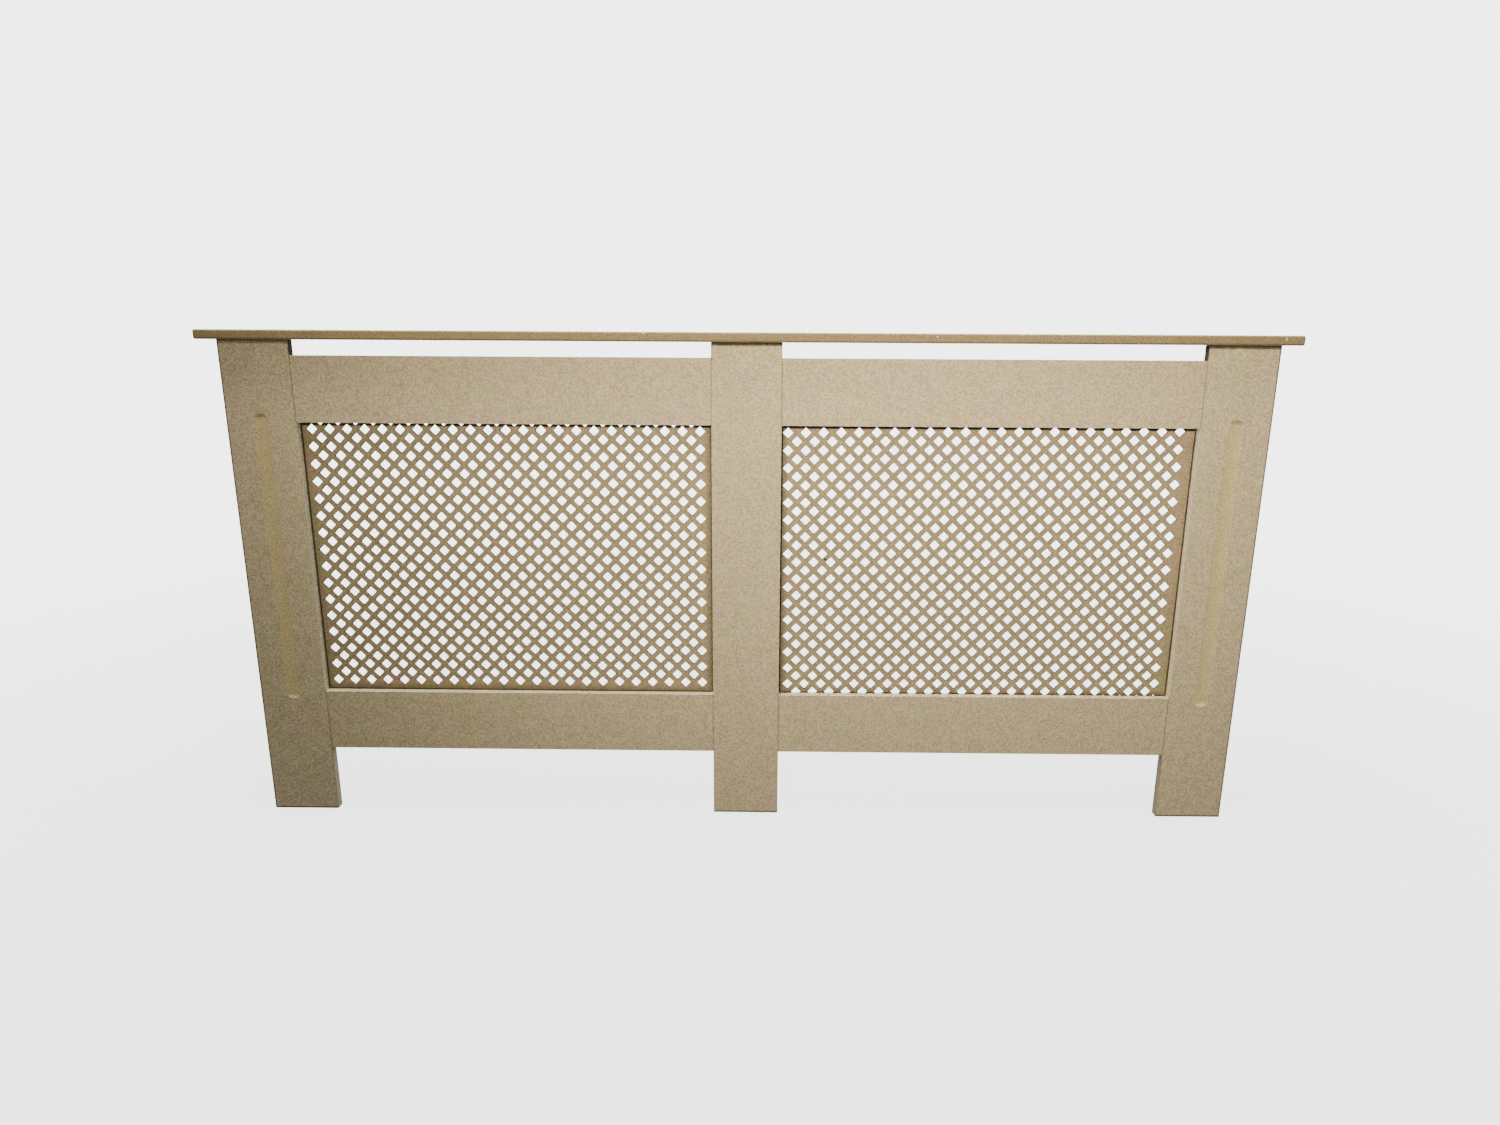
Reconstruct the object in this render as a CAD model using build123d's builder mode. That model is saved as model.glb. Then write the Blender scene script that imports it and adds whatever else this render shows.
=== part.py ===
from build123d import *
import os

# A radiator cover cabinet in bare fibreboard. A shelf lies on a front frame of three stiles and
# four rails and on two side panels. The back is open, to stand against a wall over a radiator.
# X runs along the wall, Y from the room to the wall and Z up. The origin is on the floor, under
# the middle of the shelf. Every size is in millimetres.

# Shelf
shelf_length = 1710.0
shelf_depth = 190.0
shelf_thickness = 15.0
shelf_edge_radius = 3.0
side_overhang = 23.0
front_overhang = 23.0

# Front frame
frame_thickness = 15.0
stile_width = 112.0
leg_height = 116.0
bottom_rail_height = 104.0
opening_height = 456.0
top_rail_height = 105.0
air_gap = 24.0

# Flute in the face of each end stile, stopped past both ends of the grille opening
flute_width = 25.0
flute_depth = 1.4
flute_overrun = 14.0

# Side panels, cut out at the back for the skirting board
side_thickness = 15.0
skirting_height = 120.0
skirting_depth = 20.0

# Grille sheets: square holes set on their corners, long rows with short rows between them
sheet_thickness = 3.0
sheet_lap_side = 20.0
sheet_lap_end = 28.0
lattice_pitch = 47.3
hole_side = 23.4

# How far each sheet was stapled from the middle of its opening, and how it is turned (degrees)
left_sheet_shift = -1.0
left_sheet_rise = 8.0
left_sheet_turn = 0.0
right_sheet_shift = -5.0
right_sheet_rise = -2.0
right_sheet_turn = 0.56

# Biscuits that join each rail to its stiles, and the saw that cuts their slots
biscuit_length = 56.0
biscuit_width = 23.0
biscuit_thickness = 4.0
biscuit_tip = 5.0
slot_saw_radius = 50.0
slot_clearance = 0.1

# Battens glued and screwed into the inside corners, each stopped short of what it runs towards
batten_side = 18.0
corner_batten_stop = 25.0
shelf_batten_stop = 22.0
centre_block_stop = 12.0

# Steel angles that tie the side panels to the wall
bracket_leg = 22.0
bracket_width = 18.0
bracket_thickness = 2.0
bracket_inner_radius = 1.5
bracket_drop = 75.0
wall_hole_radius = 2.5
panel_hole_radius = 2.0

# Heights above the floor
bottom_rail_top = leg_height + bottom_rail_height
opening_top = bottom_rail_top + opening_height
top_rail_top = opening_top + top_rail_height
body_height = top_rail_top + air_gap
opening_middle = bottom_rail_top + opening_height / 2
bottom_joint_z = leg_height + bottom_rail_height / 2
top_joint_z = opening_top + top_rail_height / 2

# Places along X
body_end = shelf_length / 2 - side_overhang
end_stile_x = body_end - stile_width / 2
rail_length = (2 * body_end - 3 * stile_width) / 2
rail_x = (stile_width + rail_length) / 2
panel_inside_x = body_end - side_thickness

# Holes in the lattice's long rows, and the long rows, as many as reach across an opening
lattice_columns = round(rail_length / lattice_pitch)
lattice_long_rows = round(opening_height / lattice_pitch)

# Places along Y
wall_y = shelf_depth / 2
frame_front_y = -shelf_depth / 2 + front_overhang
frame_back_y = frame_front_y + frame_thickness
frame_middle_y = frame_front_y + frame_thickness / 2
panel_depth = wall_y - frame_back_y

# The backs of the frame and of the sheets: sketches on them have X to the right and Z up
frame_plane = Plane.XZ.offset(-frame_back_y)
sheet_plane = Plane.XZ.offset(-frame_back_y - sheet_thickness)


def write(part, label):
    part.label = label
    export_step(part, f"parts/{label}.step")


def cut_biscuit_slot(edge_x, facing, z):
    """Cut a slot in the edge, at edge_x, of a board that faces along X by facing, -1 or 1."""
    saw_x = edge_x + facing * (slot_saw_radius - biscuit_width / 2 - slot_clearance)
    with Locations(Location((saw_x, frame_middle_y, z), (90, 0, 0))):
        Cylinder(slot_saw_radius, biscuit_thickness + 2 * slot_clearance, mode=Mode.SUBTRACT)


os.makedirs("parts", exist_ok=True)

# Top shelf: one board, rounded along its front and both ends, with a square edge at the wall.
with BuildPart() as top_shelf:
    with BuildSketch(Plane.XY.offset(body_height)):
        Rectangle(shelf_length, shelf_depth)
    extrude(amount=shelf_thickness)
    front_corners = top_shelf.edges().filter_by(Axis.Z).group_by(Axis.Y)[0]
    fillet(front_corners, shelf_edge_radius)
    level_faces = top_shelf.faces().filter_by(Axis.Z)
    wall_edges = top_shelf.faces().sort_by(Axis.Y)[-1].edges()
    fillet([edge for edge in level_faces.edges() if edge not in wall_edges], shelf_edge_radius)
write(top_shelf.part, "top_shelf")

# Stiles: upright boards from the floor to the shelf, slotted for biscuits in each edge that meets
# rails. A long stopped flute is sunk in the face of the two end stiles.
flute_ball_radius = (flute_width**2 / 4 + flute_depth**2) / (2 * flute_depth)
flute_ball_y = frame_front_y + flute_depth - flute_ball_radius
flute_low_z = bottom_rail_top - flute_overrun + flute_width / 2
flute_high_z = opening_top + flute_overrun - flute_width / 2

for label, x, rail_sides, fluted in (
    ("left_end_stile", -end_stile_x, (1,), True),
    ("centre_stile", 0.0, (-1, 1), False),
    ("right_end_stile", end_stile_x, (-1,), True),
):
    with BuildPart() as stile:
        with BuildSketch(frame_plane):
            with Locations((x, body_height / 2)):
                Rectangle(stile_width, body_height)
        extrude(amount=frame_thickness)
        for side in rail_sides:
            cut_biscuit_slot(x + side * stile_width / 2, side, bottom_joint_z)
            cut_biscuit_slot(x + side * stile_width / 2, side, top_joint_z)
        if fluted:
            with Locations((x, flute_ball_y, (flute_low_z + flute_high_z) / 2)):
                Cylinder(flute_ball_radius, flute_high_z - flute_low_z, mode=Mode.SUBTRACT)
            with Locations((x, flute_ball_y, flute_low_z), (x, flute_ball_y, flute_high_z)):
                Sphere(flute_ball_radius, mode=Mode.SUBTRACT)
    write(stile.part, label)

# Rails: two across the bottom and two across the top, butted between the stiles, with a biscuit
# slot in each end. The top rails stay below the shelf, to leave the air gap.
for side_name, side in (("left", -1), ("right", 1)):
    for rail_name, z, rail_height in (
        ("bottom_rail", bottom_joint_z, bottom_rail_height),
        ("top_rail", top_joint_z, top_rail_height),
    ):
        with BuildPart() as rail:
            with BuildSketch(frame_plane):
                with Locations((side * rail_x, z)):
                    Rectangle(rail_length, rail_height)
            extrude(amount=frame_thickness)
            for end in (-1, 1):
                cut_biscuit_slot(side * rail_x + end * rail_length / 2, end, z)
        write(rail.part, f"{side_name}_{rail_name}")

# Biscuits: pressed beech ovals with blunt tips, half in the rail and half in the stile of a joint.
half_tip = biscuit_tip / 2
half_length = biscuit_length / 2
half_width = biscuit_width / 2

with BuildPart() as biscuit:
    with BuildSketch(Plane.XZ.offset(-biscuit_thickness / 2)):
        with BuildLine():
            ThreePointArc((half_tip, half_length), (half_width, 0), (half_tip, -half_length))
            Line((half_tip, -half_length), (-half_tip, -half_length))
            ThreePointArc((-half_tip, -half_length), (-half_width, 0), (-half_tip, half_length))
            Line((-half_tip, half_length), (half_tip, half_length))
        make_face()
    extrude(amount=biscuit_thickness)

with BuildPart() as rail_biscuits:
    for joint_x in (stile_width / 2, stile_width / 2 + rail_length):
        for z in (bottom_joint_z, top_joint_z):
            with Locations((-joint_x, frame_middle_y, z), (joint_x, frame_middle_y, z)):
                add(biscuit.part)
write(rail_biscuits.part, "rail_biscuits")

# Side panels: they butt against the backs of the end stiles, flush with them outside, and carry
# the shelf back to the wall.
for label, side in (("left_side_panel", -1), ("right_side_panel", 1)):
    with BuildPart() as side_panel:
        with BuildSketch(Plane.YZ.offset(side * panel_inside_x)):
            with Locations((wall_y - panel_depth / 2, body_height / 2)):
                Rectangle(panel_depth, body_height)
            with Locations((wall_y - skirting_depth / 2, skirting_height / 2)):
                Rectangle(skirting_depth, skirting_height, mode=Mode.SUBTRACT)
        extrude(amount=side * side_thickness)
    write(side_panel.part, label)

# Corner battens: upright, in the corners between the end stiles and the side panels.
batten_x = panel_inside_x - batten_side / 2

for label, side in (("left_corner_batten", -1), ("right_corner_batten", 1)):
    with BuildPart() as corner_batten:
        with BuildSketch(Plane.XY.offset(corner_batten_stop)):
            with Locations((side * batten_x, frame_back_y + batten_side / 2)):
                Rectangle(batten_side, batten_side)
        extrude(amount=body_height - 2 * corner_batten_stop)
    write(corner_batten.part, label)

# Shelf battens: level, in the corners between the side panels and the shelf. They start behind the
# corner battens and stop short of the wall.
for label, side in (("left_shelf_batten", -1), ("right_shelf_batten", 1)):
    with BuildPart() as shelf_batten:
        with BuildSketch(Plane.XZ.offset(-frame_back_y - batten_side)):
            with Locations((side * batten_x, body_height - batten_side / 2)):
                Rectangle(batten_side, batten_side)
        extrude(amount=-(panel_depth - batten_side - shelf_batten_stop))
    write(shelf_batten.part, label)

# Centre block: a short batten that holds the shelf to the back of the centre stile.
with BuildPart() as centre_block:
    with BuildSketch(Plane.YZ.offset(centre_block_stop - stile_width / 2)):
        with Locations((frame_back_y + batten_side / 2, body_height - batten_side / 2)):
            Rectangle(batten_side, batten_side)
    extrude(amount=stile_width - 2 * centre_block_stop)
write(centre_block.part, "centre_block")

# Grilles: thin sheets stapled to the back of the frame, one behind each opening. The lattice is two
# interlaced grids, the second with one hole and one row fewer, so that its holes fall between.
for label, side, shift, rise, turn in (
    ("left_grille", -1, left_sheet_shift, left_sheet_rise, left_sheet_turn),
    ("right_grille", 1, right_sheet_shift, right_sheet_rise, right_sheet_turn),
):
    sheet_place = Location((side * rail_x + shift, opening_middle + rise, 0), (0, 0, turn))
    with BuildPart() as grille:
        with BuildSketch(sheet_plane * sheet_place):
            Rectangle(rail_length + 2 * sheet_lap_side, opening_height + 2 * sheet_lap_end)
            for columns, rows in (
                (lattice_columns, lattice_long_rows),
                (lattice_columns - 1, lattice_long_rows - 1),
            ):
                with GridLocations(lattice_pitch, lattice_pitch, columns, rows):
                    Rectangle(hole_side, hole_side, rotation=45, mode=Mode.SUBTRACT)
        extrude(amount=sheet_thickness)
    write(grille.part, label)

# Wall brackets: steel angles bent from strip, in the corners between the side panels and the wall.
# One leg has a hole for a screw into the panel and the other a hole for a screw into the wall.
bracket_z = body_height - bracket_drop
leg_middle = (bracket_leg + bracket_thickness) / 2

for label, side in (("left_wall_bracket", -1), ("right_wall_bracket", 1)):
    corner_x = side * panel_inside_x
    with BuildPart() as wall_bracket:
        with BuildSketch(Plane.XY.offset(bracket_z - bracket_width / 2)):
            with BuildLine():
                FilletPolyline(
                    (corner_x - side * bracket_leg, wall_y),
                    (corner_x, wall_y),
                    (corner_x, wall_y - bracket_leg),
                    radius=bracket_inner_radius + bracket_thickness,
                )
                offset(amount=bracket_thickness, side=Side.RIGHT if side > 0 else Side.LEFT)
            make_face()
        extrude(amount=bracket_width)
        with Locations(Plane((corner_x - side * leg_middle, wall_y, bracket_z), z_dir=(0, 1, 0))):
            Hole(wall_hole_radius, bracket_thickness)
        with Locations(Plane((corner_x, wall_y - leg_middle, bracket_z), z_dir=(side, 0, 0))):
            Hole(panel_hole_radius, bracket_thickness)
    write(wall_bracket.part, label)
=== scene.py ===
import math
import random

import bpy
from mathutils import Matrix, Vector


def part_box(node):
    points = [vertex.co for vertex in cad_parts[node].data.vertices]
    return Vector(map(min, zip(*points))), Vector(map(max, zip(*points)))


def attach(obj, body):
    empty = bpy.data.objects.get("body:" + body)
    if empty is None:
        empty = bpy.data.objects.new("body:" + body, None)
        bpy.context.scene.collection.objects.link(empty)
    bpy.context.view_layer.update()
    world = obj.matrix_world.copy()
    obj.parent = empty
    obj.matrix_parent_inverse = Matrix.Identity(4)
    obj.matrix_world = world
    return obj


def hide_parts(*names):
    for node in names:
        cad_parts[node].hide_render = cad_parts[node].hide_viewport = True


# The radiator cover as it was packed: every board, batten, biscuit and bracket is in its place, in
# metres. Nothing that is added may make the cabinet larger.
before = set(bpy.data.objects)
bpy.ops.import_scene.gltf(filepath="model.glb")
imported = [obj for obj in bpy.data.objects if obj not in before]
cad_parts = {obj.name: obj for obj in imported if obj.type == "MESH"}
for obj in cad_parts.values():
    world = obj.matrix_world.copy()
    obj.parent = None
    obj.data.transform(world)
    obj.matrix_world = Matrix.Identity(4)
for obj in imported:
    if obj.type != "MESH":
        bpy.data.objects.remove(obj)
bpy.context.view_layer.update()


# The camera stands where the photographer stood, close in front of the cabinet and level with the
# edge of its shelf, with a wide lens that looks slightly down.
CAMERA_PLACE = (0.036, -1.600, 0.810)
CAMERA_TILT = math.radians(75.961)
CAMERA_ROLL = math.radians(-0.341)
CAMERA_TURN = math.radians(0.561)
LENS, SENSOR_WIDTH = 22.838, 36.0
SHIFT_ACROSS, SHIFT_UP = -0.0068, 0.0097

bpy.ops.object.camera_add(location=CAMERA_PLACE, rotation=(CAMERA_TILT, CAMERA_ROLL, CAMERA_TURN))
camera = bpy.context.object
camera.data.lens = LENS
camera.data.sensor_width = SENSOR_WIDTH
camera.data.shift_x = SHIFT_ACROSS
camera.data.shift_y = SHIFT_UP
bpy.context.scene.camera = camera


# The floor is plain pale studio paper. It fades to the white of the room away from the cabinet, so
# that no horizon shows, and it throws no light back up on the boards.
FLOOR_SIZE = 60.0
PAPER = (0.93, 0.93, 0.925, 1.0)
PAPER_ROUGHNESS = 0.9
WHITE = (1.0, 1.0, 1.0, 1.0)
WHITE_GLOW = 4.5
NEAR_GLOW_SHARE = 0.6

# How far from the cabinet's middle the paper starts to fade, and how far off it is white
FADE_START, FADE_END = 0.9, 3.2


def new_finish(name):
    """A new material, its node tree and its shader."""
    finish = bpy.data.materials.new(name)
    finish.use_nodes = True
    return finish, finish.node_tree, finish.node_tree.nodes["Principled BSDF"]


def add_node(tree, kind, inputs, **settings):
    """Add a node, set it up, and give each input a value or a link."""
    node = tree.nodes.new(kind)
    for setting, value in settings.items():
        setattr(node, setting, value)
    for socket, value in inputs.items():
        if isinstance(value, bpy.types.NodeSocket):
            tree.links.new(value, node.inputs[socket])
        else:
            node.inputs[socket].default_value = value
    return node


def own_place(tree):
    """Where each point of a surface lies in the model."""
    return add_node(tree, "ShaderNodeTexCoord", {}).outputs["Object"]


def length_of(tree, vector):
    """The length of a vector."""
    return add_node(tree, "ShaderNodeVectorMath", {0: vector}, operation="LENGTH").outputs["Value"]


def ramp(tree, value, start, end, low=0.0, high=1.0):
    """Turn a value from start to end smoothly into one from low to high."""
    sockets = {"Value": value, "From Min": start, "From Max": end, "To Min": low, "To Max": high}
    return add_node(tree, "ShaderNodeMapRange", sockets, interpolation_type="SMOOTHSTEP").outputs[0]


bpy.ops.mesh.primitive_plane_add(size=FLOOR_SIZE)
floor = bpy.context.object
floor.name = "studio_floor"
floor.visible_diffuse = False
floor.visible_glossy = False
paper, tree, shader = new_finish("studio_paper")
shader.inputs["Base Color"].default_value = PAPER
shader.inputs["Roughness"].default_value = PAPER_ROUGHNESS
glow = add_node(tree, "ShaderNodeEmission", {"Color": WHITE, "Strength": WHITE_GLOW})
share = ramp(tree, length_of(tree, own_place(tree)), FADE_START, FADE_END, NEAR_GLOW_SHARE, 1.0)
fade = add_node(tree, "ShaderNodeMixShader", {0: share, 1: shader.outputs[0], 2: glow.outputs[0]})
tree.links.new(fade.outputs[0], tree.nodes["Material Output"].inputs["Surface"])
floor.data.materials.append(paper)


# The lights: the soft lamp behind the camera that lit the photograph, a panel high above the
# cabinet, others behind it and past its ends for the other sides, and the pale room.
FRONT_WHITE = (1.0, 0.945, 0.845)
OVERHEAD_WHITE = (0.97, 1.0, 0.80)
SOFT_WHITE = (1.0, 0.97, 0.93)
ROOM_BLUE = (0.85, 0.88, 1.0, 1.0)
ROOM_LIGHT = 0.35


def add_lamp(name, colour, place, aim, size, watts, spread=180.0):
    """A square soft lamp at its place, turned to its aim, which no camera sees."""
    turn = (Vector(aim) - Vector(place)).to_track_quat("-Z", "Y").to_euler()
    bpy.ops.object.light_add(type="AREA", location=place, rotation=turn)
    lamp = bpy.context.object
    lamp.name = name
    lamp.data.size = size
    lamp.data.energy = watts
    lamp.data.spread = math.radians(spread)
    lamp.data.color = colour
    lamp.visible_camera = False


add_lamp(
    "front_lamp",
    FRONT_WHITE,
    place=(-0.38, -2.6, 1.5),
    aim=(0.315, -0.072, 1.06),
    size=0.4,
    watts=15.4,
    spread=56.5,
)
add_lamp(
    "overhead_panel",
    OVERHEAD_WHITE,
    place=(-0.3, -0.3, 2.9),
    aim=(-0.2, 0.0, 0.4),
    size=1.2,
    watts=108.0,
)
add_lamp(
    "rear_panel",
    SOFT_WHITE,
    place=(0.9, 2.9, 1.7),
    aim=(0.0, 0.0, 0.4),
    size=2.4,
    watts=110.0,
)
for name, way in (("left_panel", -1), ("right_panel", 1)):
    add_lamp(
        name,
        SOFT_WHITE,
        place=(way * 3.0, 0.9, 1.5),
        aim=(0.0, 0.2, 0.5),
        size=1.6,
        watts=60.0,
    )

world = bpy.data.worlds.new("pale_room")
world.use_nodes = True
bpy.context.scene.world = world
tree = world.node_tree
seen = add_node(tree, "ShaderNodeLightPath", {}).outputs["Is Camera Ray"]
dim_room = tree.nodes["Background"]
dim_room.inputs["Color"].default_value = ROOM_BLUE
dim_room.inputs["Strength"].default_value = ROOM_LIGHT
white_room = add_node(tree, "ShaderNodeBackground", {"Color": WHITE, "Strength": WHITE_GLOW})
room = add_node(tree, "ShaderNodeMixShader", {0: seen, 1: dim_room.outputs[0], 2: white_room.outputs[0]})
tree.links.new(room.outputs[0], tree.nodes["World Output"].inputs["Surface"])


# The top shelf is one board of bare fibreboard, cut square at the wall and rounded along its front
# and ends with a cutter. It lies on the frame and the side panels and is screwed from below.
MM = 0.001
SKINS = ((0.44, 0.38, 0.18, 1.0), (0.50, 0.355, 0.22, 1.0))
CORE = (0.50, 0.385, 0.165, 1.0)
ROUTED_EDGE = (0.215, 0.150, 0.064, 1.0)
# The dark colour of dirt, and of painted shade in corners, under the shelf and on unlit edges
DIRT_AND_SHADE = (0.03, 0.021, 0.012, 1.0)
SCUFF = (0.62, 0.52, 0.34, 1.0)
DARK_FLECK = (0.16, 0.11, 0.06, 1.0)
PALE_FLECK = (0.72, 0.62, 0.46, 1.0)
SHELF_ARRIS = 0.3 * MM
SHARP_EDGE = math.radians(40)
WELD_REACH = 0.01 * MM

# How far below a face the core starts to show, and how far below it shows fully
BARE_SKIN, FULL_CORE = 0.08 * MM, 0.5 * MM

# Soft noise in a board: its scale to the metre, its detail, and its low and high values
BROAD_DRIFT = (14.0, 2.0, 0.0, 0.4)
FINE_DRIFT = (110.0, 3.0, 0.0, 0.6)
CLOUDS = (45.0, 3.0, 0.96, 1.04)
FIBRE = (380.0, 2.0, 0.72, 1.28)
DULLNESS = (300.0, 2.0, 0.72, 0.88)

# All soft noise is this rough, and only the middle of its own range is stretched over its values
NOISE_ROUGHNESS = 0.6
NOISE_MIDDLE = (0.3, 0.7)

# The flecks: how small they are, how far each reaches, which cells of the pattern hold one, and
# how strongly it shows
FLECK_SCALE = 420.0
FLECK_RIM = (0.45, 0.2)
DARK_CELLS, DARK_STRENGTH = (0.90, 0.96), 0.35
PALE_CELLS, PALE_STRENGTH = (0.10, 0.04), 0.3

FIBRE_BUMP, FIBRE_RELIEF = 0.25, 0.15 * MM
DRY_GLOSS = 0.3

# A mark starts at its whole reach and is full at half of it, and goes this deep behind the face
MARK_RIM = (1.0, 0.5)
MARK_DEPTH = 4 * MM

# Darkening of the shelf's rounded edges, painted shade along the lower rounding, which faces down,
# and a lighter darkening along the upper one: how strong it is, and how far above the shelf's lower
# face and below its upper face it starts and is full
BOTTOM_SHADE, BOTTOM_BAND = 0.55, (3.4 * MM, 1.2 * MM)
TOP_DARKENING, TOP_BAND = 0.15, (2.6 * MM, 0.8 * MM)

# How squarely a surface faces out, from 1 on a board's face to 0 on its edge, where the edge's
# own colour starts and is full, and where the painted shade of the rounded edge does
EDGE_TURN = (0.85, 0.35)
ROUNDED_TURN = (0.95, 0.8)


def mix_colours(tree, share, first, second, way="MIX"):
    """Two colours mixed, or multiplied, by a share."""
    sockets = {0: share, 6: first, 7: second}
    return add_node(tree, "ShaderNodeMix", sockets, data_type="RGBA", blend_type=way).outputs[2]


def maths(tree, operation, first, *others):
    """Arithmetic on values or links, from the first to the last."""
    for other in others or (0.0,):
        first = add_node(tree, "ShaderNodeMath", {0: first, 1: other}, operation=operation).outputs[0]
    return first


def split(tree, vector):
    """The three parts of a vector."""
    return add_node(tree, "ShaderNodeSeparateXYZ", {0: vector}).outputs


def noise(tree, place, scale, detail, low, high):
    """Soft noise at a place, between a low and a high value."""
    sockets = {"Vector": place, "Scale": scale, "Detail": detail, "Roughness": NOISE_ROUGHNESS}
    return ramp(tree, add_node(tree, "ShaderNodeTexNoise", sockets).outputs[0], *NOISE_MIDDLE, low, high)


def add_flecks(tree, place, colour):
    """Scatter the dark and pale flecks of bark and wood over a colour."""
    cells = add_node(tree, "ShaderNodeTexVoronoi", {"Vector": place, "Scale": FLECK_SCALE})
    chance = add_node(tree, "ShaderNodeSeparateColor", {0: cells.outputs["Color"]}).outputs[0]
    near = ramp(tree, cells.outputs["Distance"], *FLECK_RIM)
    dark = ramp(tree, chance, *DARK_CELLS, 0.0, DARK_STRENGTH)
    pale = ramp(tree, chance, *PALE_CELLS, 0.0, PALE_STRENGTH)
    colour = mix_colours(tree, maths(tree, "MULTIPLY", dark, near), colour, DARK_FLECK)
    return mix_colours(tree, maths(tree, "MULTIPLY", pale, near), colour, PALE_FLECK)


def front_mark(x, z, half_width, half_height, front_y, stain):
    """A mark on a front face: its spot, how far it reaches each way, and its colour."""
    return (x, front_y, z), (half_width, MARK_DEPTH, half_height), stain


def add_mark(tree, place, colour, spot, reach, stain):
    """Put a mark over a colour: full round its spot, and gone beyond its reach."""
    away = add_node(tree, "ShaderNodeVectorMath", {0: place, 1: spot}, operation="SUBTRACT").outputs[0]
    share = add_node(tree, "ShaderNodeVectorMath", {0: away, 1: reach}, operation="DIVIDE").outputs[0]
    return mix_colours(tree, ramp(tree, length_of(tree, share), *MARK_RIM), colour, stain)


def fibreboard(name, across, faces, edge, skins=SKINS, core=CORE, dirt_and_shade=None, cut=None, marks=()):
    """Bare fibreboard: pale pressed skins, a yellower core where they are cut, and its own edges.

    The thickness runs across, from face to face. Dirt and shade is a function that works out how much
    dirt or painted shade darkens a place, and cut one that works out the painted light and shade on
    the ends of a cutter's flute. Marks are small stains and scuffs.
    """
    finish, tree, shader = new_finish(name)
    place = own_place(tree)
    axis = "XYZ".index(across)
    middle, half = (faces[0] + faces[1]) / 2, (faces[1] - faces[0]) / 2
    from_middle = maths(tree, "ABSOLUTE", maths(tree, "SUBTRACT", split(tree, place)[axis], middle))
    in_core = ramp(tree, from_middle, half - BARE_SKIN, half - FULL_CORE)
    facing = split(tree, add_node(tree, "ShaderNodeNewGeometry", {}).outputs["Normal"])
    face_on = maths(tree, "ABSOLUTE", facing[axis])

    drift = maths(tree, "ADD", noise(tree, place, *BROAD_DRIFT), noise(tree, place, *FINE_DRIFT))
    colour = mix_colours(tree, drift, *skins)
    colour = mix_colours(tree, in_core, colour, core)
    colour = mix_colours(tree, ramp(tree, face_on, *EDGE_TURN), colour, edge)
    fibre = noise(tree, place, *FIBRE)
    shades = [noise(tree, place, *CLOUDS), fibre]
    if cut:
        shades += cut(tree, face_on, facing[2])
    for shade in shades:
        colour = mix_colours(tree, 1.0, colour, shade, "MULTIPLY")
    colour = add_flecks(tree, place, colour)
    # Darken the colour with dirt and with painted shade, as the given function works out
    if dirt_and_shade:
        colour = mix_colours(tree, dirt_and_shade(tree, place, face_on), colour, DIRT_AND_SHADE)
    for mark in marks:
        colour = add_mark(tree, place, colour, *mark)
    tree.links.new(colour, shader.inputs["Base Color"])

    tree.links.new(noise(tree, place, *DULLNESS), shader.inputs["Roughness"])
    relief = {"Strength": FIBRE_BUMP, "Distance": FIBRE_RELIEF, "Height": fibre}
    tree.links.new(add_node(tree, "ShaderNodeBump", relief).outputs[0], shader.inputs["Normal"])
    shader.inputs["Specular IOR Level"].default_value = DRY_GLOSS
    return finish


def dress_piece(node, finish, arris, steps=2):
    """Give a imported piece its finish, close up its loose triangles, and break its sharp edges."""
    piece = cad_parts[node]
    piece.data.materials.clear()
    piece.data.materials.append(finish)
    weld = piece.modifiers.new("closed_edges", "WELD")
    weld.merge_threshold = WELD_REACH
    bevel = piece.modifiers.new("arris", "BEVEL")
    bevel.width = arris
    bevel.segments = steps
    bevel.use_clamp_overlap = False
    bevel.limit_method = "ANGLE"
    bevel.angle_limit = SHARP_EDGE


def rounded_edge_shade(tree, place, face_on):
    """Painted shade on the rounded edges, darkest along the bottom, which faces down, and a little darker
    along the top.
    """
    height = split(tree, place)[2]
    below_from, below_full = (shelf_low[2] + reach for reach in BOTTOM_BAND)
    above_from, above_full = (shelf_high[2] - reach for reach in TOP_BAND)
    below = ramp(tree, height, below_from, below_full, 0.0, BOTTOM_SHADE)
    above = ramp(tree, height, above_from, above_full, 0.0, TOP_DARKENING)
    rounded = ramp(tree, face_on, *ROUNDED_TURN)
    return maths(tree, "MULTIPLY", maths(tree, "MAXIMUM", below, above), rounded)


shelf_low, shelf_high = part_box("top_shelf")
shelf_scuffs = [
    front_mark(-158.0 * MM, 817.2 * MM, 3.2 * MM, 1.0 * MM, shelf_low[1], SCUFF),
    front_mark(293.0 * MM, 815.5 * MM, 2.0 * MM, 1.8 * MM, shelf_low[1], SCUFF),
    front_mark(825.0 * MM, 815.0 * MM, 1.8 * MM, 3.4 * MM, shelf_low[1], SCUFF),
]
shelf_board = fibreboard(
    "shelf_fibreboard",
    across="Z",
    faces=(shelf_low[2], shelf_high[2]),
    edge=ROUTED_EDGE,
    dirt_and_shade=rounded_edge_shade,
    marks=shelf_scuffs,
)
dress_piece("top_shelf", shelf_board, SHELF_ARRIS)


# The three stiles are upright fibreboard from the floor to the shelf. The two end ones have a long
# shallow flute, sunk with a round cutter, whose floor shows the yellower core.
ARRIS = 0.8 * MM
# The frame's cut edges are paler than the side panels' sawn edge: partly their own colour, partly a
# painted highlight of the light raking them
EDGE_WITH_HIGHLIGHT = (0.74, 0.64, 0.42, 1.0)
STAIN = (0.26, 0.20, 0.13, 1.0)

# Where the openings' sides, the frame's end, and the feet and heads of openings and rails lie
stile_low, stile_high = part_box("centre_stile")
INNER_X, OUTER_X = stile_high[0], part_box("right_end_stile")[0][0]
END_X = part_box("right_end_stile")[1][0]
OPENING_FOOT, OPENING_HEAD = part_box("left_bottom_rail")[1][2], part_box("left_top_rail")[0][2]
RAIL_FOOT, RAIL_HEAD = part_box("left_bottom_rail")[0][2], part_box("left_top_rail")[1][2]
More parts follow.
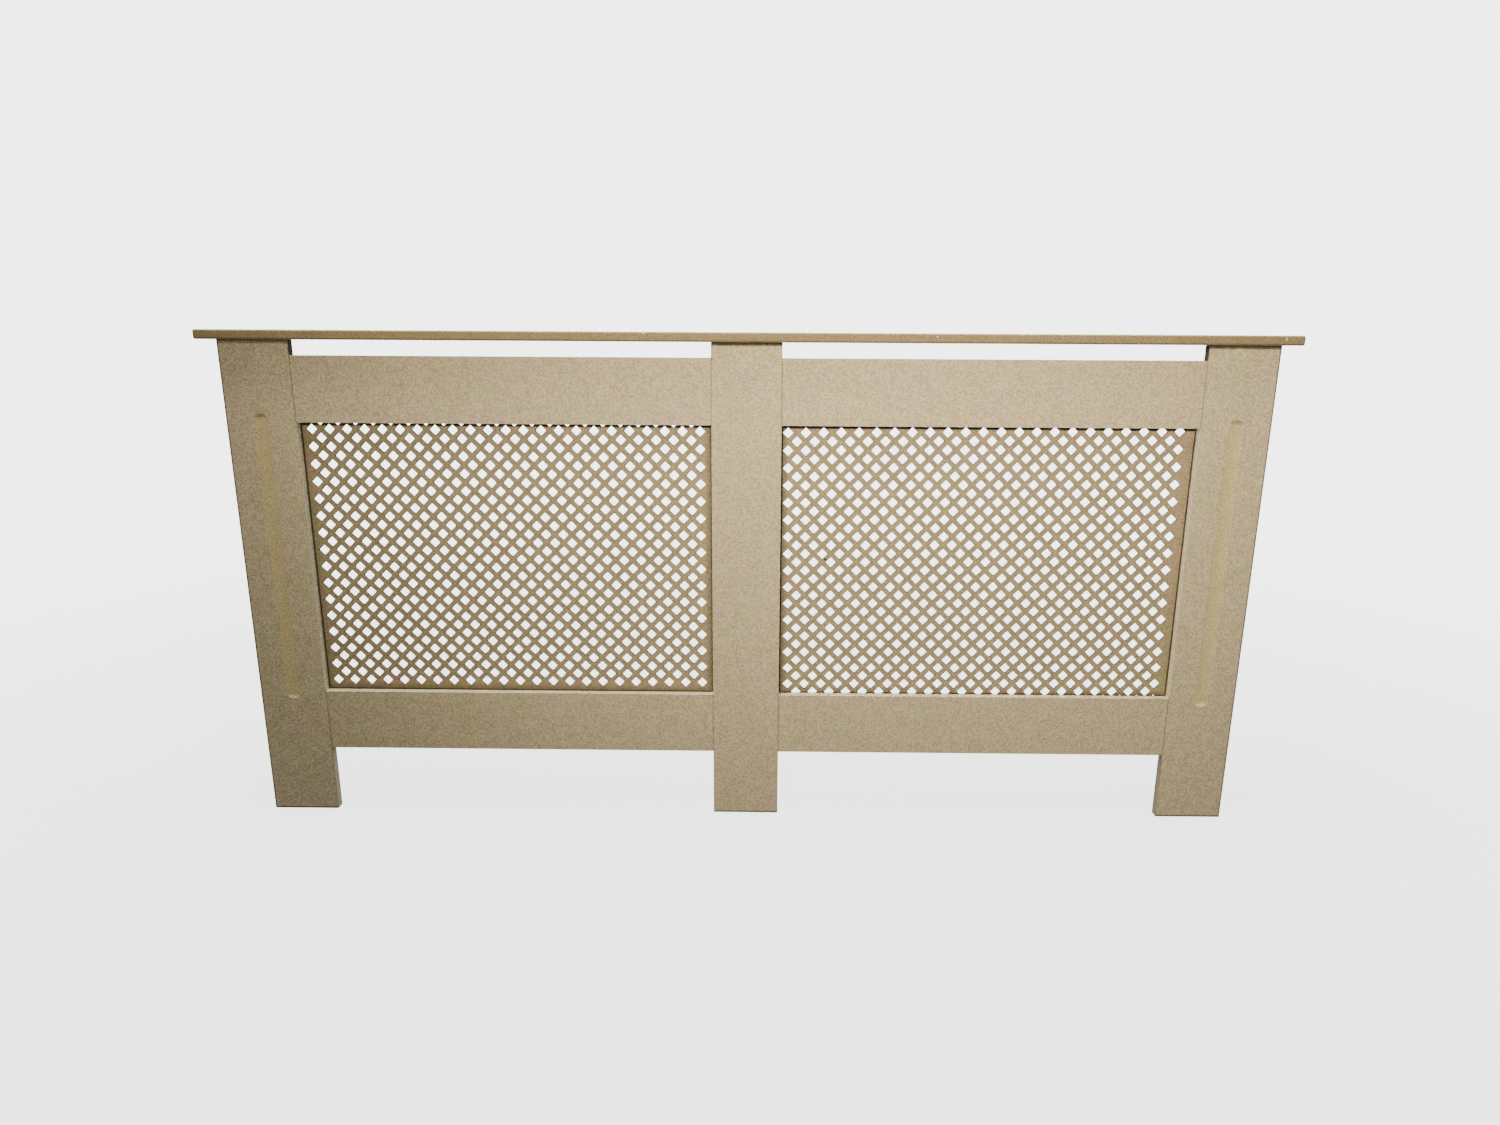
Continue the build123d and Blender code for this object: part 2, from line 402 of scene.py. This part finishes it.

# Each dark line, of dirt in the joints, a darker outline, or painted shadow and shade under the shelf
# and on the inner edges: its strength, and how far from its edge or joint it starts and is full
JOINT_DIRT, JOINT_BAND = 0.45, (1.4 * MM, 0.5 * MM)
OUTLINE_DARKENING, END_BAND, FOOT_BAND = 0.75, (3.6 * MM, 1.6 * MM), (4.2 * MM, 2.0 * MM)
EDGE_SHADE, HEAD_BAND = 0.93, (1.9 * MM, 1.2 * MM)
BACK_SHADE, BACK_BAND = 0.85, (4.0 * MM, 1.5 * MM)
FOOT_SHADE = 0.65

# How squarely a surface faces out where the darkening starts and is full: off the edges, on the
# edges alone, and on the edges and their arrises
OFF_EDGES = (0.02, 0.2)
ON_EDGES = (0.3, 0.1)
ON_ARRISES = (0.98, 0.9)

# Painted light and shade where a flute runs out: how squarely its floor still faces out, how far that
# leans up or down where the change starts and is full, and how bright the painted light on the
# upward end and the painted shade on the downward end are
SLOPED_TURN = (0.93, 0.96)
SLOPE_FROM, SLOPE_FULL = 0.04, 0.18
LIT_FLUTE_END, SHADED_FLUTE_END = 1.7, 0.55


def flute_end_shading(tree, face_on, rise):
    """Painted light and shade on a flute's ends: lighter at the lower end, which faces up, and darker at
    the upper, which faces down.
    """
    sloped = ramp(tree, face_on, *SLOPED_TURN)
    lit_end = maths(tree, "MULTIPLY", sloped, ramp(tree, rise, SLOPE_FROM, SLOPE_FULL))
    shaded_end = maths(tree, "MULTIPLY", sloped, ramp(tree, rise, -SLOPE_FROM, -SLOPE_FULL))
    return [ramp(tree, lit_end, 0.0, 1.0, 1.0, LIT_FLUTE_END), ramp(tree, shaded_end, 0.0, 1.0, 1.0, SHADED_FLUTE_END)]


def from_centre(tree, place):
    """How far a place lies to either side of the cabinet's middle, how deep, and how high."""
    x, depth, height = split(tree, place)
    return maths(tree, "ABSOLUTE", x), depth, height


def frame_dirt_and_shade(tree, place, face_on):
    """How dark the frame is painted: dirt in its joints, a darker outline, painted shadow under the
    shelf, and painted shade on its inner edges.
    """
    across, depth, height = from_centre(tree, place)
    to_joints = [maths(tree, "ABSOLUTE", maths(tree, "SUBTRACT", across, x)) for x in (INNER_X, OUTER_X)]
    in_joint = ramp(tree, maths(tree, "MINIMUM", *to_joints), *JOINT_BAND, 0.0, JOINT_DIRT)
    below_opening = ramp(tree, height, OPENING_FOOT, OPENING_FOOT - ARRIS)
    above_opening = ramp(tree, height, OPENING_HEAD, OPENING_HEAD + ARRIS)
    beside_rail = maths(tree, "MAXIMUM", below_opening, above_opening)
    in_joint = maths(tree, "MULTIPLY", in_joint, beside_rail)

    # A darker line along the frame's outer ends and along its feet
    end_from, end_full = (END_X - reach for reach in END_BAND)
    at_end = ramp(tree, across, end_from, end_full, 0.0, OUTLINE_DARKENING)
    at_foot = ramp(tree, height, *FOOT_BAND, 0.0, OUTLINE_DARKENING)
    off_edges = ramp(tree, face_on, *OFF_EDGES)
    outline = maths(tree, "MULTIPLY", maths(tree, "MAXIMUM", at_end, at_foot), off_edges)
    # Painted shadow in a line under the shelf
    head_from, head_full = (stile_high[2] - reach for reach in HEAD_BAND)
    under_shelf = ramp(tree, height, head_from, head_full, 0.0, EDGE_SHADE)

    # Painted shade on the inner edges: towards the back where they meet the sheet, all over in the gap
    # under the shelf, and below the bottom rails
    back_from, back_full = (stile_high[1] - reach for reach in BACK_BAND)
    at_back = ramp(tree, depth, back_from, back_full, 0.0, BACK_SHADE)
    in_gap = ramp(tree, height, RAIL_HEAD, RAIL_HEAD + ARRIS, 0.0, EDGE_SHADE)
    on_edges = ramp(tree, face_on, *ON_EDGES)
    edges = maths(tree, "MULTIPLY", maths(tree, "MAXIMUM", at_back, in_gap), on_edges)
    below_rail = ramp(tree, height, RAIL_FOOT, RAIL_FOOT - ARRIS, 0.0, FOOT_SHADE)
    below_rail = maths(tree, "MULTIPLY", below_rail, ramp(tree, face_on, *ON_ARRISES))
    short_of_ends = ramp(tree, across, OUTER_X + 2 * ARRIS, OUTER_X + ARRIS)
    inner_edges = maths(tree, "MULTIPLY", maths(tree, "MAXIMUM", edges, below_rail), short_of_ends)
    return maths(tree, "MAXIMUM", in_joint, outline, under_shelf, inner_edges)


rail_stain = front_mark(-178.9 * MM, 752.5 * MM, 2.2 * MM, 1.2 * MM, stile_low[1], STAIN)
frame_board = fibreboard(
    "frame_fibreboard",
    across="Y",
    faces=(stile_low[1], stile_high[1]),
    edge=EDGE_WITH_HIGHLIGHT,
    dirt_and_shade=frame_dirt_and_shade,
    cut=flute_end_shading,
    marks=[rail_stain],
)
for stile in ("left_end_stile", "centre_stile", "right_end_stile"):
    dress_piece(stile, frame_board, ARRIS)


# The four rails are cut from the same board and glued between the stiles, so that each joint shows
# as a fine dark line where two sanded arrises meet.
for rail in ("left_bottom_rail", "right_bottom_rail", "left_top_rail", "right_top_rail"):
    dress_piece(rail, frame_board, ARRIS)


# The side panels are the same fibreboard, set square behind the end stiles, and notched at the
# bottom of the back to pass the skirting board.
SAWN_EDGE = (0.50, 0.40, 0.21, 1.0)

for panel in ("left_side_panel", "right_side_panel"):
    low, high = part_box(panel)
    panel_board = fibreboard(f"{panel}_fibreboard", across="X", faces=(low[0], high[0]), edge=SAWN_EDGE)
    dress_piece(panel, panel_board, ARRIS)


# The grilles are thin punched fibreboard, stapled behind the openings. Each has 17 long rows of 23
# square holes set on their corners, with 16 rows of 22 between them.
PITCH = 28.56 * MM
COLUMNS, LONG_ROWS = 23, 17
SHEET_SKINS = ((0.272, 0.247, 0.098, 1.0), (0.348, 0.218, 0.130, 1.0))
PUNCHED_EDGE = (0.07, 0.052, 0.022, 1.0)

# A hole's side inside its broken edges, which make it nearly 14 mm wide at the faces
HOLE_SIDE = 12.1 * MM
PUNCHED_ARRIS = 0.9 * MM

# One hole lies in each slanted cell. The number of cells across is odd, so that one is in the
# middle, and they reach the sheet's corners. The field ends this share of a pitch past the middles
# of its last holes.
CELL = PITCH / math.sqrt(2)
CELLS_ACROSS = 45
PITCH_SPARE = 0.1

# How far each sheet is turned, and where the middle of its field of holes lies, across and up
TURNS = {"left": 0.0, "right": math.radians(0.56)}
FIELDS = {"left": (-389.3 * MM, 465.0 * MM), "right": (383.3 * MM, 438.4 * MM)}

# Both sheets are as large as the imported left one, which isn't turned, and lie as deep
sheet_low, sheet_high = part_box("left_grille")
SHEET_WIDTH, SHEET_HEIGHT = sheet_high[0] - sheet_low[0], sheet_high[2] - sheet_low[2]
SHEET_FRONT, SHEET_THICKNESS = sheet_low[1], sheet_high[1] - sheet_low[1]

# Painted shade on a sheet, where the frame shades it: its strengths, how far from the frame it starts
# and is full, how far its line is tucked behind the frame or drops below the top rail, and how deep in
# the sheet it ends
CORNER_SHADE, CORNER_BAND = 0.95, (3.8 * MM, 2.0 * MM)
INNER_MARGIN, OUTER_MARGIN, MARGIN_BAND = 0.5, 0.15, (15.0 * MM, 2.0 * MM)
LINE_TUCK, LINE_DROP = 1.0 * MM, 2.4 * MM
UNSHADED_DEPTH, SHADED_DEPTH = 0.8, 0.4


def corner_shade(tree, place, face_on):
    """Painted shade on a sheet's front, however it faces: thick along the frame, and thin beside it."""
    across, depth, height = from_centre(tree, place)
    to_inner = maths(tree, "SUBTRACT", across, INNER_X)
    to_outer = maths(tree, "SUBTRACT", OUTER_X + LINE_TUCK, across)
    to_foot = maths(tree, "SUBTRACT", height, OPENING_FOOT - LINE_TUCK)
    to_head = maths(tree, "SUBTRACT", OPENING_HEAD - LINE_DROP, height)
    inner = ramp(tree, maths(tree, "MINIMUM", to_inner, to_foot), *MARGIN_BAND, 0.0, INNER_MARGIN)
    outer = ramp(tree, to_outer, *MARGIN_BAND, 0.0, OUTER_MARGIN)
    to_frame = maths(tree, "MINIMUM", to_inner, to_foot, to_outer, to_head)
    corner = ramp(tree, to_frame, *CORNER_BAND, 0.0, CORNER_SHADE)
    unshaded, shaded = (SHEET_FRONT + share * SHEET_THICKNESS for share in (UNSHADED_DEPTH, SHADED_DEPTH))
    in_front = ramp(tree, depth, unshaded, shaded)
    return maths(tree, "MULTIPLY", maths(tree, "MAXIMUM", inner, outer, corner), in_front)


def select_faces(piece, wanted):
    """Select only the faces that are wanted, by place or normal, and open the piece for editing."""
    bpy.ops.object.mode_set(mode="EDIT")
    bpy.ops.mesh.select_all(action="DESELECT")
    bpy.ops.object.mode_set(mode="OBJECT")
    bpy.context.tool_settings.mesh_select_mode = (False, False, True)
    for face in piece.data.polygons:
        face.select = wanted(face)
    bpy.ops.object.mode_set(mode="EDIT")


def apply_bevel(piece, width):
    """Break the sharp edges of a piece."""
    bevel = piece.modifiers.new("broken_edges", "BEVEL")
    bevel.width = width
    bevel.segments = 1
    bevel.limit_method = "ANGLE"
    bevel.angle_limit = SHARP_EDGE
    bpy.ops.object.modifier_apply(modifier=bevel.name)


def stand_up(piece, side):
    """Stand up in its place a piece that was modelled flat, round the middle of a sheet's holes."""
    bpy.ops.object.select_all(action="DESELECT")
    piece.select_set(True)
    bpy.context.view_layer.objects.active = piece
    piece.rotation_euler = (math.radians(90), 0, 0)
    bpy.ops.object.transform_apply(rotation=True)
    piece.rotation_euler = (0, -TURNS[side], 0)
    piece.location = (FIELDS[side][0], SHEET_FRONT, FIELDS[side][1])
    bpy.ops.object.transform_apply(location=True, rotation=True)


def box_and_middle(node):
    """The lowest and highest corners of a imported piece, and its middle."""
    low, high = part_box(node)
    return low, high, [(a + b) / 2 for a, b in zip(low, high)]


def sheet_middle(side):
    """Where a packed sheet's middle lies from that of its holes, across and up the sheet."""
    low, high, middle = box_and_middle(f"{side}_grille")
    across, up = middle[0] - FIELDS[side][0], middle[2] - FIELDS[side][1]
    cosine, sine = math.cos(TURNS[side]), math.sin(TURNS[side])
    return Vector((across * cosine + up * sine, up * cosine - across * sine, 0))


def lattice_sheet(side):
    """A sheet with its field of square holes: a grid of slanted cells, each inset and emptied."""
    bpy.ops.object.select_all(action="DESELECT")
    bpy.ops.mesh.primitive_grid_add(
        x_subdivisions=CELLS_ACROSS,
        y_subdivisions=CELLS_ACROSS,
        size=CELLS_ACROSS * CELL,
        rotation=(0, 0, math.radians(45)),
    )
    sheet = bpy.context.object
    sheet.name = f"{side}_lattice_sheet"
    bpy.ops.object.transform_apply(rotation=True)
    half_width = (COLUMNS // 2 + PITCH_SPARE) * PITCH
    half_height = (LONG_ROWS // 2 + PITCH_SPARE) * PITCH
    select_faces(sheet, lambda cell: abs(cell.center.x) < half_width and abs(cell.center.y) < half_height)
    bpy.ops.mesh.inset(thickness=(CELL - HOLE_SIDE) / 2, use_individual=True)
    bpy.ops.mesh.delete(type="FACE")

    middle = sheet_middle(side)
    for reach in (Vector((SHEET_WIDTH / 2, 0, 0)), Vector((0, SHEET_HEIGHT / 2, 0))):
        for edge in (reach, -reach):
            bpy.ops.mesh.select_all(action="SELECT")
            bpy.ops.mesh.bisect(plane_co=middle + edge, plane_no=edge.normalized(), clear_outer=True)
    bpy.ops.object.mode_set(mode="OBJECT")

    stand_up(sheet, side)
    wall = sheet.modifiers.new("sheet_thickness", "SOLIDIFY")
    wall.thickness = SHEET_THICKNESS
    wall.offset = -1.0
    bpy.ops.object.modifier_apply(modifier=wall.name)
    apply_bevel(sheet, PUNCHED_ARRIS)
    sheet.data.materials.append(grille_board)
    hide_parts(f"{side}_grille")
    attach(sheet, "root")


sheet_speck = front_mark(130.9 * MM, 455.0 * MM, 3.4 * MM, 2.6 * MM, SHEET_FRONT, DIRT_AND_SHADE)
grille_board = fibreboard(
    "grille_fibreboard",
    across="Y",
    faces=(SHEET_FRONT, SHEET_FRONT + SHEET_THICKNESS),
    edge=PUNCHED_EDGE,
    skins=SHEET_SKINS,
    core=PUNCHED_EDGE,
    dirt_and_shade=corner_shade,
    marks=[sheet_speck],
)
for side in ("left", "right"):
    lattice_sheet(side)


# The sheets are held by wire staples, shot through their margins into the backs of the stiles and
# rails, about 90 mm apart and none of them quite straight.
CROWN = 10.0 * MM
WIRE_WIDTH, WIRE_THICKNESS = 1.2 * MM, 0.6 * MM
STAPLE_LEG = 6.0 * MM
STAPLE_SPACING = 90.0 * MM
STAPLE_INSET = 9.0 * MM
STEEL_GREYS = ((0.52, 0.52, 0.50, 1.0), (0.68, 0.67, 0.64, 1.0))
STEEL_CLOUDS = (1500.0, 2.0, 0.0, 1.0)
STEEL_DULLNESS = (2500.0, 1.0, 0.3, 0.45)

# How far an unsteady hand shoots a staple off its spot, in millimetres, and turns it, in degrees
WANDER_ACROSS, WANDER_UP, TWIST = 3, 2, 9
HAND_SEED = 4

# The least that the normal of a level face points up
LEVEL = 0.9


def bare_metal(name, greys, clouds, dullness):
    """Bare metal, faintly clouded between two greys, and duller in places."""
    finish, tree, shader = new_finish(name)
    place = own_place(tree)
    tree.links.new(mix_colours(tree, noise(tree, place, *clouds), *greys), shader.inputs["Base Color"])
    shader.inputs["Metallic"].default_value = 1.0
    tree.links.new(noise(tree, place, *dullness), shader.inputs["Roughness"])
    return finish


def wire_staple():
    """One staple, modelled on the back of a sheet whose front lies at height nought."""
    bpy.ops.object.select_all(action="DESELECT")
    crown_z = -SHEET_THICKNESS - WIRE_THICKNESS / 2
    bpy.ops.mesh.primitive_cube_add(
        size=1, location=(0, 0, crown_z), scale=(CROWN, WIRE_WIDTH, WIRE_THICKNESS)
    )
    staple = bpy.context.object
    bpy.ops.object.transform_apply(location=True, scale=True)
    leg_from = CROWN / 2 - WIRE_THICKNESS
    bpy.ops.object.mode_set(mode="EDIT")
    for way in (-1, 1):
        bpy.ops.mesh.select_all(action="SELECT")
        bpy.ops.mesh.bisect(plane_co=(way * leg_from, 0, 0), plane_no=(1, 0, 0))
    select_faces(staple, lambda face: face.normal.z > LEVEL and abs(face.center.x) > leg_from)
    bpy.ops.mesh.extrude_region_move(TRANSFORM_OT_translate={"value": (0, 0, STAPLE_LEG)})
    bpy.ops.object.mode_set(mode="OBJECT")
    return staple


def copy_piece(master, place, turn):
    """A copy of a piece, with its own mesh, at a place and turned."""
    copy = master.copy()
    copy.data = master.data.copy()
    copy.location = place
    copy.rotation_euler = turn
    bpy.context.collection.objects.link(copy)
    return copy


def join_pieces(name, pieces, finish):
    """Make one steel piece of several, with its finish and its place in the model."""
    bpy.ops.object.select_all(action="DESELECT")
    for piece in pieces:
        piece.select_set(True)
    bpy.context.view_layer.objects.active = pieces[0]
    bpy.ops.object.transform_apply(location=True, rotation=True, scale=True)
    bpy.ops.object.join()
    whole = bpy.context.object
    whole.name = name
    whole.data.materials.clear()
    whole.data.materials.append(finish)
    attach(whole, "root")
    return whole


def staple_spots(middle):
    """Where the staples go round a sheet, and which way each crown lies, in degrees."""
    half_width, half_height = SHEET_WIDTH / 2 - STAPLE_INSET, SHEET_HEIGHT / 2 - STAPLE_INSET
    columns, rows = round(2 * half_width / STAPLE_SPACING), round(2 * half_height / STAPLE_SPACING)
    for column in range(columns):
        x = half_width * ((2 * column + 1) / columns - 1)
        for edge in (-1, 1):
            yield middle + Vector((x, edge * half_height, 0)), 0.0
    for row in range(rows):
        y = half_height * ((2 * row + 1) / rows - 1)
        for edge in (-1, 1):
            yield middle + Vector((edge * half_width, y, 0)), 90.0


staple_steel = bare_metal("staple_steel", STEEL_GREYS, STEEL_CLOUDS, STEEL_DULLNESS)
hand = random.Random(HAND_SEED)
staple = wire_staple()
for side in ("left", "right"):
    shot = []
    for spot, lie in staple_spots(sheet_middle(side)):
        across, up = hand.uniform(-WANDER_ACROSS, WANDER_ACROSS), hand.uniform(-WANDER_UP, WANDER_UP)
        turn = math.radians(lie + hand.uniform(-TWIST, TWIST))
        shot.append(copy_piece(staple, spot + Vector((across, up, 0)) * MM, (0, 0, turn)))
    stand_up(join_pieces(f"{side}_grille_staples", shot, staple_steel), side)
bpy.data.objects.remove(staple)


# The battens are planed softwood, glued and screwed into the corners behind the stiles and under
# the shelf. The centre block ties the shelf to the middle stile.
PINE_LIGHT = (0.66, 0.47, 0.25, 1.0)
PINE_DARK = (0.47, 0.29, 0.13, 1.0)
PINE_STRETCH = 0.06
PINE_BEND = (40.0, 2.0, 0.0, 1.0)
PINE_GRAIN = {"Scale": 420.0, "Detail": 3.0, "Roughness": 0.7, "Distortion": 0.6}
PINE_LINES = (0.42, 0.62)
PINE_FIBRE = (2400.0, 1.0, 0.93, 1.07)
PINE_DULLNESS = (0.5, 0.65)
PINE_BUMP, PINE_RELIEF = 0.2, 0.1 * MM


def planed_pine(name, along):
    """Planed pine whose growth lines run along the batten."""
    finish, tree, shader = new_finish(name)
    stretch = [1.0, 1.0, 1.0]
    stretch["XYZ".index(along)] = PINE_STRETCH
    flat = add_node(tree, "ShaderNodeMapping", {"Vector": own_place(tree), "Scale": stretch}).outputs[0]
    grain = add_node(tree, "ShaderNodeTexNoise", {"Vector": flat, **PINE_GRAIN}).outputs[0]
    colour = mix_colours(tree, ramp(tree, grain, *PINE_LINES), PINE_LIGHT, PINE_DARK)
    colour = mix_colours(tree, noise(tree, flat, *PINE_BEND), colour, PINE_LIGHT)
    colour = mix_colours(tree, 1.0, colour, noise(tree, flat, *PINE_FIBRE), "MULTIPLY")
    tree.links.new(colour, shader.inputs["Base Color"])
    tree.links.new(ramp(tree, grain, *NOISE_MIDDLE, *PINE_DULLNESS), shader.inputs["Roughness"])
    relief = {"Strength": PINE_BUMP, "Distance": PINE_RELIEF, "Height": grain}
    tree.links.new(add_node(tree, "ShaderNodeBump", relief).outputs[0], shader.inputs["Normal"])
    return finish


upright_pine = planed_pine("upright_pine", "Z")
level_pine = planed_pine("level_pine", "Y")
block_pine = planed_pine("block_pine", "X")
for batten, pine in (
    ("left_corner_batten", upright_pine),
    ("right_corner_batten", upright_pine),
    ("left_shelf_batten", level_pine),
    ("right_shelf_batten", level_pine),
    ("centre_block", block_pine),
):
    dress_piece(batten, pine, ARRIS)


# The batten screws are thin steel screws with a small flat head and a cross recess, driven just
# under the wood's face: into the side panels, into the backs of the stiles, and up into the shelf.
HEAD_RADIUS, HEAD_DEPTH = 1.98 * MM, 2.2 * MM
HEAD_SIDES = 20
RECESS_ARM, RECESS_WIDTH, RECESS_DEPTH = 1.305 * MM, 0.36 * MM, 1.3 * MM
HEAD_SINK = 0.15 * MM
SIDE_SCREW_HEIGHTS = (95 * MM, 410 * MM, 730 * MM)
STILE_SCREW_HEIGHTS = (160 * MM, 350 * MM, 640 * MM)
BATTEN_SCREW_REACH, BLOCK_SCREW_REACH = 36 * MM, 27 * MM
INWARD = {"left": Vector((1, 0, 0)), "right": Vector((-1, 0, 0))}
WALLWARD, DOWN = Vector((0, 1, 0)), Vector((0, 0, -1))
ZINC_GREYS = ((0.60, 0.62, 0.64, 1.0), (0.72, 0.71, 0.66, 1.0))
ZINC_CLOUDS = (260.0, 3.0, 0.0, 1.0)
ZINC_DULLNESS = (900.0, 2.0, 0.25, 0.42)


def cut_recess(head, top):
    """Cut a cross into a screw head with two crossed cutters."""
    for size in ((RECESS_ARM, RECESS_WIDTH), (RECESS_WIDTH, RECESS_ARM)):
        bpy.ops.object.select_all(action="DESELECT")
        bpy.ops.mesh.primitive_cube_add(size=1, location=(0, 0, top), scale=(*size, 2 * RECESS_DEPTH))
        cutter = bpy.context.object
        bpy.ops.object.transform_apply(location=True, scale=True)
        cut = head.modifiers.new("recess", "BOOLEAN")
        cut.operation = "DIFFERENCE"
        cut.object = cutter
        bpy.context.view_layer.objects.active = head
        bpy.ops.object.modifier_apply(modifier=cut.name)
        bpy.data.objects.remove(cutter)


def round_head(radius, depth, middle):
    """The plain round blank of a screw head that looks along Z."""
    bpy.ops.object.select_all(action="DESELECT")
    bpy.ops.mesh.primitive_cylinder_add(
        vertices=HEAD_SIDES, radius=radius, depth=depth, location=(0, 0, middle)
    )
    bpy.ops.object.transform_apply(location=True)
    return bpy.context.object


def flat_head():
    """A flat head, its top just under height nought."""
    head = round_head(HEAD_RADIUS, HEAD_DEPTH, -HEAD_SINK - HEAD_DEPTH / 2)
    cut_recess(head, -HEAD_SINK)
    return head


def drive_screws(name, head, spots):
    """A copy of a screw head at each spot, looking the way that the surface there faces."""
    driven = []
    for place, facing in spots:
        driven.append(copy_piece(head, place, facing.to_track_quat("Z", "Y").to_euler()))
    join_pieces(name, driven, zinc)
    bpy.data.objects.remove(head)


def batten_screw_spots():
    """The heads' places on the faces of the battens, and the way that each face looks."""
    for side, inward in INWARD.items():
        low, high, middle = box_and_middle(f"{side}_corner_batten")
        inner_x = high[0] if side == "left" else low[0]
        for z in SIDE_SCREW_HEIGHTS:
            yield Vector((inner_x, middle[1], z)), inward
        for z in STILE_SCREW_HEIGHTS:
            yield Vector((middle[0], high[1], z)), WALLWARD
        low, high, middle = box_and_middle(f"{side}_shelf_batten")
        yield Vector((inner_x, middle[1], middle[2])), inward
        for reach in (-BATTEN_SCREW_REACH, BATTEN_SCREW_REACH):
            yield Vector((middle[0], middle[1] + reach, low[2])), DOWN
    low, high, middle = box_and_middle("centre_block")
    yield Vector((middle[0], high[1], middle[2])), WALLWARD
    for reach in (-BLOCK_SCREW_REACH, BLOCK_SCREW_REACH):
        yield Vector((reach, middle[1], low[2])), DOWN


zinc = bare_metal("bright_zinc", ZINC_GREYS, ZINC_CLOUDS, ZINC_DULLNESS)
drive_screws("batten_screws", flat_head(), batten_screw_spots())


# The biscuits are thin blunt ovals of pressed beech. Each is glued unseen in one of the frame's
# joints, half of it in the end of the rail and half in the edge of the stile.
BEECH_BROWNS = ((0.60, 0.40, 0.22, 1.0), (0.45, 0.27, 0.13, 1.0))
BEECH_STRETCH = (1.0, 1.0, 0.15)
BEECH_FLECKS = (900.0, 2.0, 0.0, 1.0)
BEECH_DULLNESS = 0.7
BISCUIT_ARRIS = 0.3 * MM


def pressed_beech(name):
    """Beech with short dark flecks along its grain."""
    finish, tree, shader = new_finish(name)
    stretched = {"Vector": own_place(tree), "Scale": BEECH_STRETCH}
    flat = add_node(tree, "ShaderNodeMapping", stretched).outputs[0]
    colour = mix_colours(tree, noise(tree, flat, *BEECH_FLECKS), *BEECH_BROWNS)
    tree.links.new(colour, shader.inputs["Base Color"])
    shader.inputs["Roughness"].default_value = BEECH_DULLNESS
    return finish


dress_piece("rail_biscuits", pressed_beech("biscuit_beech"), BISCUIT_ARRIS)


# The wall brackets are bent from zinc-plated steel strip. One pan-headed screw holds each in its
# side panel, and the other hole is left empty for the screw into the wall.
BRACKET_THICKNESS, BRACKET_ARRIS = 2.0 * MM, 0.15 * MM
PAN_RADIUS, PAN_HEIGHT = 3.9 * MM, 2.3 * MM
PAN_ROUND, ROUND_STEPS = 1.1 * MM, 4
PAN_SMOOTH = math.radians(35)


def pan_head():
    """A low screw head, rounded on all its edges, on height nought. Its cross stands up from it."""
    head = round_head(PAN_RADIUS, PAN_HEIGHT, PAN_HEIGHT / 2)
    bpy.ops.object.mode_set(mode="EDIT")
    bpy.ops.mesh.select_all(action="SELECT")
    bpy.ops.mesh.bevel(offset=PAN_ROUND, segments=ROUND_STEPS, affect="EDGES")
    bpy.ops.object.mode_set(mode="OBJECT")
    cut_recess(head, PAN_HEIGHT)

    # The rounded edges overlap, which leaves the head inside out until its faces are turned
    bpy.ops.object.mode_set(mode="EDIT")
    bpy.ops.mesh.select_all(action="SELECT")
    bpy.ops.mesh.flip_normals()
    bpy.ops.object.mode_set(mode="OBJECT")
    bpy.ops.object.shade_smooth_by_angle(angle=PAN_SMOOTH)
    return head


def bracket_screw_spots():
    """The middle of each hole in the leg against a side panel, on the leg's inner face."""
    for side, inward in INWARD.items():
        low, high, middle = box_and_middle(f"{side}_wall_bracket")
        leg_x = low[0] + BRACKET_THICKNESS if side == "left" else high[0] - BRACKET_THICKNESS
        hole_y = low[1] + (high[1] - low[1] - BRACKET_THICKNESS) / 2
        yield Vector((leg_x, hole_y, middle[2])), inward


for bracket in ("left_wall_bracket", "right_wall_bracket"):
    dress_piece(bracket, zinc, BRACKET_ARRIS, steps=1)
drive_screws("bracket_screws", pan_head(), bracket_screw_spots())
